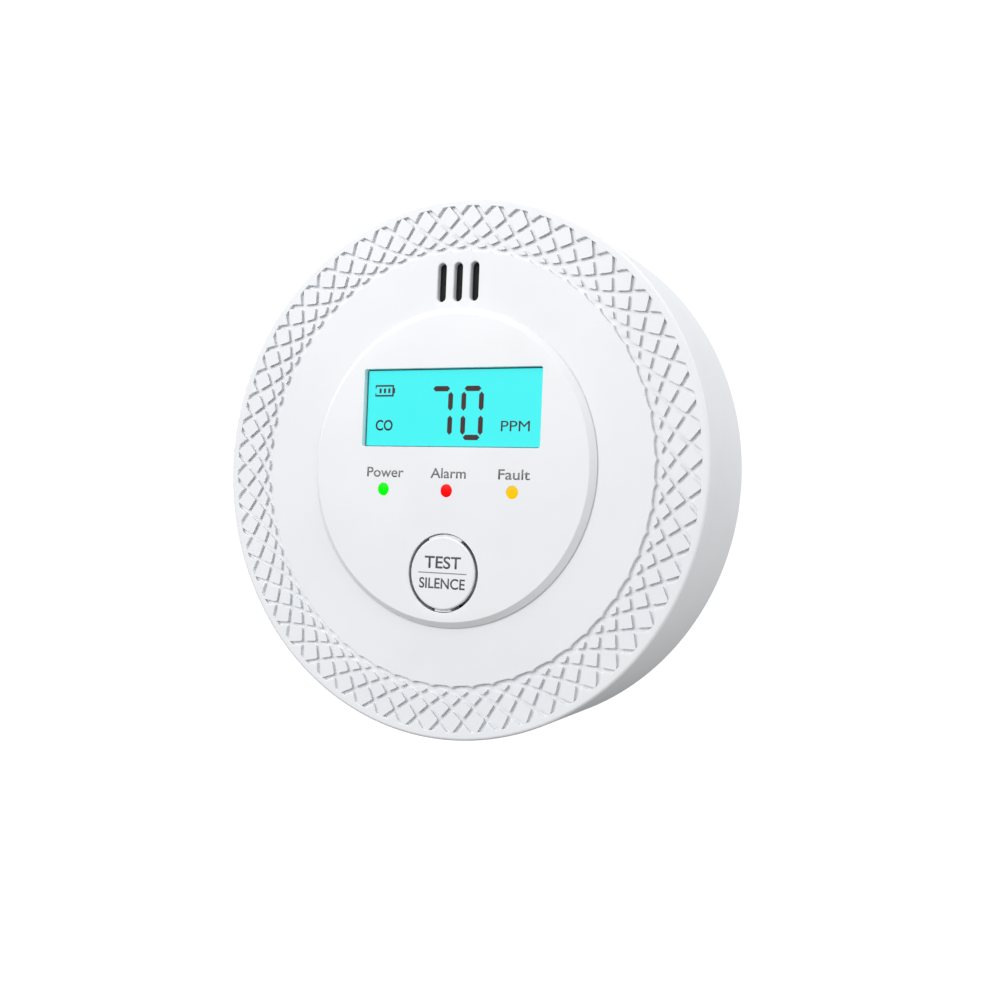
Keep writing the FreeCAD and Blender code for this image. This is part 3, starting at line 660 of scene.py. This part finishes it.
def lettering(name, words, x, z, height, width, y, ink, weight=0.012, body="alarm"):
    """Words whose capitals are height tall, centred on x and standing on z, and width wide."""
    curve = bpy.data.curves.new(name, "FONT")
    curve.body = words
    curve.size = 1.0
    curve.offset = weight
    curve.align_x = "CENTER"
    maker = bpy.data.objects.new(name + "_curve", curve)
    bpy.context.scene.collection.objects.link(maker)
    bpy.context.view_layer.update()
    mesh = bpy.data.meshes.new_from_object(maker)
    bpy.data.objects.remove(maker)
    xs = [v.co.x for v in mesh.vertices]
    scale_x = width / (max(xs) - min(xs))
    scale_z = height / CAPITAL_H
    centre = (max(xs) + min(xs)) / 2
    for v in mesh.vertices:
        v.co = Vector((x + (v.co.x - centre) * scale_x, y, z + v.co.y * scale_z))
    mesh.name = name
    piece = bpy.data.objects.new(name, mesh)
    bpy.context.scene.collection.objects.link(piece)
    piece.data.materials.clear()
    piece.data.materials.append(ink)
    layer = piece.modifiers.new("layer", "SOLIDIFY")
    layer.thickness = INK_T
    layer.offset = -1.0
    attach(piece, body)
    return piece


# Words of the three lights: place along x and width
LIGHT_WORDS = (("Power", -LIGHT_X, 8.5 * MM), ("Alarm", 0.0, 7.9 * MM), ("Fault", LIGHT_X, 6.8 * MM))
LIGHT_WORDS_SHIFT = 0.3 * MM
LIGHT_WORDS_Z = -2.1 * MM
LIGHT_WORDS_H = 1.85 * MM
# Words on the button: place above the button's middle, height and width
BUTTON_WORDS = (("TEST", 0.95 * MM, 2.2 * MM, 8.1 * MM), ("SILENCE", -3.0 * MM, 1.9 * MM, 10.2 * MM))
BUTTON_WORDS_WEIGHT = 0.016
# Units on the display: window fractions, width and weight of the strokes
UNIT_WORDS = (("CO", 0.108, 0.785, 4.0 * MM, 0.02), ("PPM", 0.850, 0.79, 6.2 * MM, 0.0))
UNIT_WORDS_H = 1.95 * MM


def labels():
    ink_y = PLATE_Y - 0.005 * MM
    for words, x, width in LIGHT_WORDS:
        label = lettering("label_" + words.lower(), words, x + LIGHT_WORDS_SHIFT, LIGHT_WORDS_Z,
                          LIGHT_WORDS_H, width, ink_y, INK)
    cap_y = BUTTON_TOP_Y - 0.008 * MM
    for words, above, height, width in BUTTON_WORDS:
        label = lettering("label_" + words.lower(), words, 0.0, BUTTON_Z + above, height, width, cap_y,
                          DARK_INK, BUTTON_WORDS_WEIGHT, "test_button")
    bm = bmesh.new()
    half_w, half_h = 5.4 * MM, 0.10 * MM
    flat_shape(bm, rounded_rectangle(2 * half_w, 2 * half_h, half_h * 0.9, 0.0, BUTTON_Z), cap_y)
    line = new_object("label_divider", bm, INK, smooth=False, body="test_button")
    for words, x, v, width, weight in UNIT_WORDS:
        px, pz = window_point(x, v)
        unit = lettering("display_" + words.lower(), words, px, pz, UNIT_WORDS_H, width, SEGMENT_Y, SEGMENT,
                         weight)


labels()


def display_lens():
    bm = bmesh.new()
    low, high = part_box("lcd_window")
    loop = rounded_rectangle(high[0] - low[0], high[2] - low[2], 0.5 * MM, 0.0, DISPLAY_Z)
    air = 0.05 * MM          # between the lens and the display
    rings = stack(bm, rounding(loop, LENS_Y, CUT_EDGE, 1) + [(loop, GLASS_Y - air)])
    bm.faces.new(rings[0])
    bm.faces.new(rings[-1])
    lens = new_object("display_lens", bm, LENS)
    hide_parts("lcd_window")


display_lens()


# Indicator lights: rods whose slightly domed ends stand flush with the plate

def light_rod(name, x, glow):
    bm = bmesh.new()
    low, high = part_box("light_pipe_" + name)
    dome = 0.10 * MM
    bands = []
    for i in range(1, 6):
        share = i / 5
        bands.append((circle(LIGHT_R * share, 40, x, LIGHT_Z), low[1] + dome * share * share))
    shaft = circle(LIGHT_R, 40, x, LIGHT_Z)
    collar = circle(LIGHT_COLLAR_R, 40, x, LIGHT_Z)
    bands += [(shaft, PLATE_FOOT_Y), (collar, PLATE_FOOT_Y), (collar, INSIDE_Y), (shaft, INSIDE_Y),
              (shaft, high[1])]
    rings = stack(bm, bands)
    bm.faces.new(rings[0])
    bm.faces.new(rings[-1])
    rod = new_object("light_rod_" + name, bm, glow)
    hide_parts("light_pipe_" + name)


light_rod("power", -LIGHT_X, GREEN)
light_rod("alarm", 0.0, RED)
light_rod("fault", LIGHT_X, AMBER)


# Test button

def test_button():
    bm = bmesh.new()
    low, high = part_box("test_button")
    around = 96
    edge = 0.35 * MM
    small = 0.05 * MM
    tab_y = INSIDE_Y + 0.1 * MM
    cap = circle(BUTTON_R, around, 0.0, BUTTON_Z)
    bands = rounding(cap, BUTTON_TOP_Y, edge, 1, 5)
    skirt = circle(BUTTON_SKIRT_R, around, 0.0, BUTTON_Z)
    inside = circle(BUTTON_INNER_R, around, 0.0, BUTTON_Z)
    bands += [(cap, low[1] + BUTTON_LIP), (skirt, low[1] + BUTTON_LIP), (skirt, high[1]), (inside, high[1]),
              (inside, low[1] + BUTTON_CAP_T)]
    rings = stack(bm, bands)
    bm.faces.new(rings[0])
    bm.faces.new(rings[-1])
    stem_loop = circle(STEM_R, 32, 0.0, BUTTON_Z)
    stem = stack(bm, [(stem_loop, low[1] + STEM_START), (stem_loop, low[1] + STEM_END)])
    bm.faces.new(stem[0])
    bm.faces.new(stem[-1])
    rib_sizes = (BUTTON_HOLE_R - 0.15 * MM, 0.3 * MM, low[1] + 0.6 * MM, high[1] - small)
    tab_sizes = (BUTTON_TAB_R, 0.5 * MM, tab_y, high[1])
    for centre, half in BUTTON_RIBS:
        for outer, inner, top, back in (rib_sizes, tab_sizes):
            far = arc(0.0, BUTTON_Z, outer, centre - half, centre + half, 24)
            near = arc(0.0, BUTTON_Z, BUTTON_SKIRT_R - inner, centre - half, centre + half, 24)
            loop = far + near[::-1]
            rib = stack(bm, [(offset(loop, -small), top), (loop, top + small), (loop, back)])
            bm.faces.new(rib[0])
            bm.faces.new(rib[-1])
    button = new_object("test_button_detailed", bm, BUTTON, body="test_button")
    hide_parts("test_button")


test_button()


# CAD nodes that keep their shape and get finished materials

def give(mat, *names):
    for name in names:
        node = NODES[name]
        node.data.materials.clear()
        node.data.materials.append(mat)


def board_material():
    """Green solder mask with fainter copper tracks under it."""
    mat = material("pcb_green", (0.01, 0.10, 0.04), 0.35)
    tree = mat.node_tree
    place = tree.nodes.new("ShaderNodeTexCoord")
    brick = tree.nodes.new("ShaderNodeTexBrick")
    brick.inputs["Scale"].default_value = 420.0
    brick.inputs["Mortar Size"].default_value = 0.06
    brick.inputs["Color1"].default_value = (0.008, 0.085, 0.033, 1)
    brick.inputs["Color2"].default_value = (0.012, 0.105, 0.045, 1)
    brick.inputs["Mortar"].default_value = (0.03, 0.22, 0.09, 1)
    turn = tree.nodes.new("ShaderNodeMapping")
    turn.inputs["Rotation"].default_value = (math.radians(90), 0, 0)
    tree.links.new(place.outputs["Object"], turn.inputs["Vector"])
    tree.links.new(turn.outputs["Vector"], brick.inputs["Vector"])
    tree.links.new(brick.outputs["Color"], tree.nodes["Principled BSDF"].inputs["Base Color"])
    bump(mat, 5000.0, 0.08, 0.02 * MM)
    return mat


def metal(name, colour, roughness):
    mat = material(name, colour, roughness, Metallic=1.0)
    vary_colour(mat, tuple(0.88 * c for c in colour), colour, 250.0)
    vary_roughness(mat, roughness - 0.06, roughness + 0.08, 2500.0)
    return mat


FULL = (1.0, 1.0, 1.0, 1.0)
NONE = (0.0, 0.0, 0.0, 1.0)
BAND_STARTS = (0.012, 0.80, 0.965)       # jacket, dark band and positive end, as shares of the length


def cell_material(node, spring):
    """Blue jacket with a dark band at the positive end and bare steel at both ends, along x."""
    mat = material("cell_" + node, (0.03, 0.13, 0.34), 0.30)
    tree = mat.node_tree
    shader = tree.nodes["Principled BSDF"]
    low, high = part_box(node)
    ends = (low[0], high[0]) if middle(spring, "x") < middle(node, "x") else (high[0], low[0])
    place = tree.nodes.new("ShaderNodeTexCoord")
    split = tree.nodes.new("ShaderNodeSeparateXYZ")
    along = tree.nodes.new("ShaderNodeMapRange")
    along.inputs["From Min"].default_value = ends[0]
    along.inputs["From Max"].default_value = ends[1]
    tree.links.new(place.outputs["Object"], split.inputs["Vector"])
    tree.links.new(split.outputs["X"], along.inputs["Value"])
    steel, blue, dark = (0.60, 0.59, 0.57, 1), (0.025, 0.13, 0.36, 1), (0.02, 0.02, 0.024, 1)
    looks = (("Base Color", (steel, blue, dark, steel)), ("Metallic", (FULL, NONE, NONE, FULL)))
    for socket, values in looks:
        bands = tree.nodes.new("ShaderNodeValToRGB")
        bands.color_ramp.interpolation = "CONSTANT"
        bands.color_ramp.elements[0].color = values[0]
        bands.color_ramp.elements[1].position = BAND_STARTS[0]
        bands.color_ramp.elements[1].color = values[1]
        for position, value in zip(BAND_STARTS[1:], values[2:]):
            bands.color_ramp.elements.new(position).color = value
        tree.links.new(along.outputs["Result"], bands.inputs["Fac"])
        tree.links.new(bands.outputs["Color"], shader.inputs[socket])
    bump(mat, 4000.0, 0.03, 0.02 * MM)
    return mat


STEEL = metal("contact_steel", (0.62, 0.61, 0.58), 0.28)
ZINC = metal("screw_steel", (0.50, 0.50, 0.49), 0.34)
SENSOR = metal("sensor_metal", (0.60, 0.59, 0.56), 0.30)
BRASS = metal("brass_disc", (0.72, 0.52, 0.22), 0.33)
CAN = moulded("capacitor_can", (0.015, 0.015, 0.02), (0.03, 0.03, 0.035), 0.35)
FERRITE = moulded("ferrite", (0.03, 0.03, 0.03), (0.06, 0.055, 0.055), 0.6)
FELT = moulded("felt", (0.008, 0.008, 0.008), (0.02, 0.02, 0.02), 0.95, 2500.0, 0.8)
GAUZE = moulded("gauze", (0.004, 0.004, 0.004), (0.009, 0.009, 0.009), 0.9, 2200.0, 0.7)
RUBBER = moulded("zebra_rubber", (0.02, 0.02, 0.022), (0.035, 0.035, 0.037), 0.75)
GUIDE = moulded("light_guide", (0.62, 0.78, 0.78), (0.68, 0.84, 0.84), 0.3)
WHITE_LED = moulded("led_body", (0.68, 0.68, 0.62), (0.72, 0.72, 0.66), 0.35)
BOARD = board_material()

give(BRACKET, "wall_bracket")
give(COVER, "rear_cover", "battery_door")
give(BLACK, "lcd_frame", "switch_body", "switch_plunger", "buzzer_housing", "buzzer_retainer", "mcu_chip",
     "amplifier_chip")
give(GUIDE, "lcd_backlight")
give(RUBBER, "zebra_strips")
give(WHITE_LED, "led_power", "led_alarm", "led_fault")
give(BOARD, "main_pcb")
give(CAN, "capacitors")
give(FERRITE, "driver_coil")
give(SENSOR, "gas_sensor")
give(FELT, "sensor_filter")
give(BRASS, "buzzer_disc")
give(GAUZE, "dust_mesh")
give(cell_material("battery_upper", "spring_upper"), "battery_upper")
give(cell_material("battery_lower", "spring_lower"), "battery_lower")
give(STEEL, "spring_upper", "spring_lower", "contact_link", "contact_positive", "contact_negative")
give(ZINC, "housing_screws", "pcb_screws")


def ease_edges(name, width):
    """Small rounding on the moulded edges of a CAD node, with smooth round walls between them."""
    node = NODES[name]
    weld = node.modifiers.new("weld", "WELD")
    weld.merge_threshold = 0.002 * MM
    flat = node.modifiers.new("flat_faces", "DECIMATE")
    flat.decimate_type = "DISSOLVE"
    flat.angle_limit = math.radians(0.5)
    rounded = node.modifiers.new("rounded_edges", "BEVEL")
    rounded.width = width
    rounded.segments = 2
    rounded.limit_method = "ANGLE"
    rounded.angle_limit = math.radians(40)
    even = node.modifiers.new("even_normals", "WEIGHTED_NORMAL")
    even.keep_sharp = True
    for polygon in node.data.polygons:
        polygon.use_smooth = True


ease_edges("wall_bracket", 0.30 * MM)
ease_edges("rear_cover", 0.25 * MM)
ease_edges("battery_door", 0.20 * MM)


# Stage, lights and camera

def plain_floor():
    bm = bmesh.new()
    half, floor_z = 6.0, -0.30
    corners = ((-half, -half), (half, -half), (half, half), (-half, half))
    flat = [bm.verts.new((x, y, floor_z)) for x, y in corners]
    bm.faces.new(flat)
    mesh = bpy.data.meshes.new("floor")
    bm.to_mesh(mesh)
    bm.free()
    floor = bpy.data.objects.new("floor", mesh)
    bpy.context.scene.collection.objects.link(floor)
    mat = material("floor_pale", (0.97, 0.97, 0.97), 0.9, Emission_Color=(1.0, 1.0, 1.0, 1.0),
                   Emission_Strength=0.12)
    vary_colour(mat, (0.965, 0.965, 0.965), (0.975, 0.975, 0.975), 3.0)
    floor.data.materials.append(mat)
    floor.visible_diffuse = False
    floor.visible_glossy = False


def soft_light(name, place, size, power):
    """Square area light that points at the object."""
    lamp = bpy.data.lights.new(name, "AREA")
    lamp.size = size
    lamp.energy = power
    holder = bpy.data.objects.new(name, lamp)
    holder.location = place
    holder.rotation_euler = (-Vector(place)).to_track_quat("-Z", "Y").to_euler()
    bpy.context.scene.collection.objects.link(holder)


def studio_world(low, high):
    """White surround that lights the object more from above than from below."""
    sky = bpy.data.worlds.new("studio")
    sky.use_nodes = True
    tree = sky.node_tree
    direction = tree.nodes.new("ShaderNodeTexCoord")
    split = tree.nodes.new("ShaderNodeSeparateXYZ")
    height = tree.nodes.new("ShaderNodeMapRange")
    height.inputs["From Min"].default_value = -0.7
    height.inputs["From Max"].default_value = 0.7
    height.inputs["To Min"].default_value = low
    height.inputs["To Max"].default_value = high
    tree.links.new(direction.outputs["Generated"], split.inputs["Vector"])
    tree.links.new(split.outputs["Z"], height.inputs["Value"])
    lighting = tree.nodes["Background"]
    lighting.inputs["Color"].default_value = (0.97, 0.985, 1.0, 1.0)
    tree.links.new(height.outputs["Result"], lighting.inputs["Strength"])
    backdrop = tree.nodes.new("ShaderNodeBackground")
    backdrop.inputs["Color"].default_value = (1.0, 1.0, 1.0, 1.0)
    backdrop.inputs["Strength"].default_value = 1.05
    seen = tree.nodes.new("ShaderNodeLightPath")
    choice = tree.nodes.new("ShaderNodeMixShader")
    tree.links.new(seen.outputs["Is Camera Ray"], choice.inputs["Fac"])
    tree.links.new(lighting.outputs["Background"], choice.inputs[1])
    tree.links.new(backdrop.outputs["Background"], choice.inputs[2])
    tree.links.new(choice.outputs["Shader"], tree.nodes["World Output"].inputs["Surface"])
    bpy.context.scene.world = sky


def camera():
    """Camera right of the face's normal and a little below the middle."""
    lens = bpy.data.cameras.new("camera")
    lens.sensor_width = 36.0
    lens.lens = 50.32
    lens.clip_start = 0.01
    lens.clip_end = 50.0
    holder = bpy.data.objects.new("camera", lens)
    place = Vector((0.13371, FACE_Y - 0.23968, -0.01137))
    forward = Vector((-0.4549, 0.8903, 0.0198)).normalized()
    right = Vector((0.8901, 0.4539, 0.0405))
    right = (right - forward * right.dot(forward)).normalized()
    up = right.cross(forward)
    turn = Matrix((right, up, -forward)).transposed()
    holder.matrix_world = Matrix.Translation(place) @ turn.to_4x4()
    bpy.context.scene.collection.objects.link(holder)
    bpy.context.scene.camera = holder


bpy.context.scene.view_settings.view_transform = "Standard"
plain_floor()
studio_world(low=0.0, high=1.09)
soft_light("key", place=(-0.22, -0.51, 0.26), size=0.36, power=2.15)
soft_light("side", place=(1.10, 0.10, 0.50), size=0.5, power=4.0)
soft_light("low", place=(0.12, -0.07, -0.21), size=0.2, power=0.14)
camera()
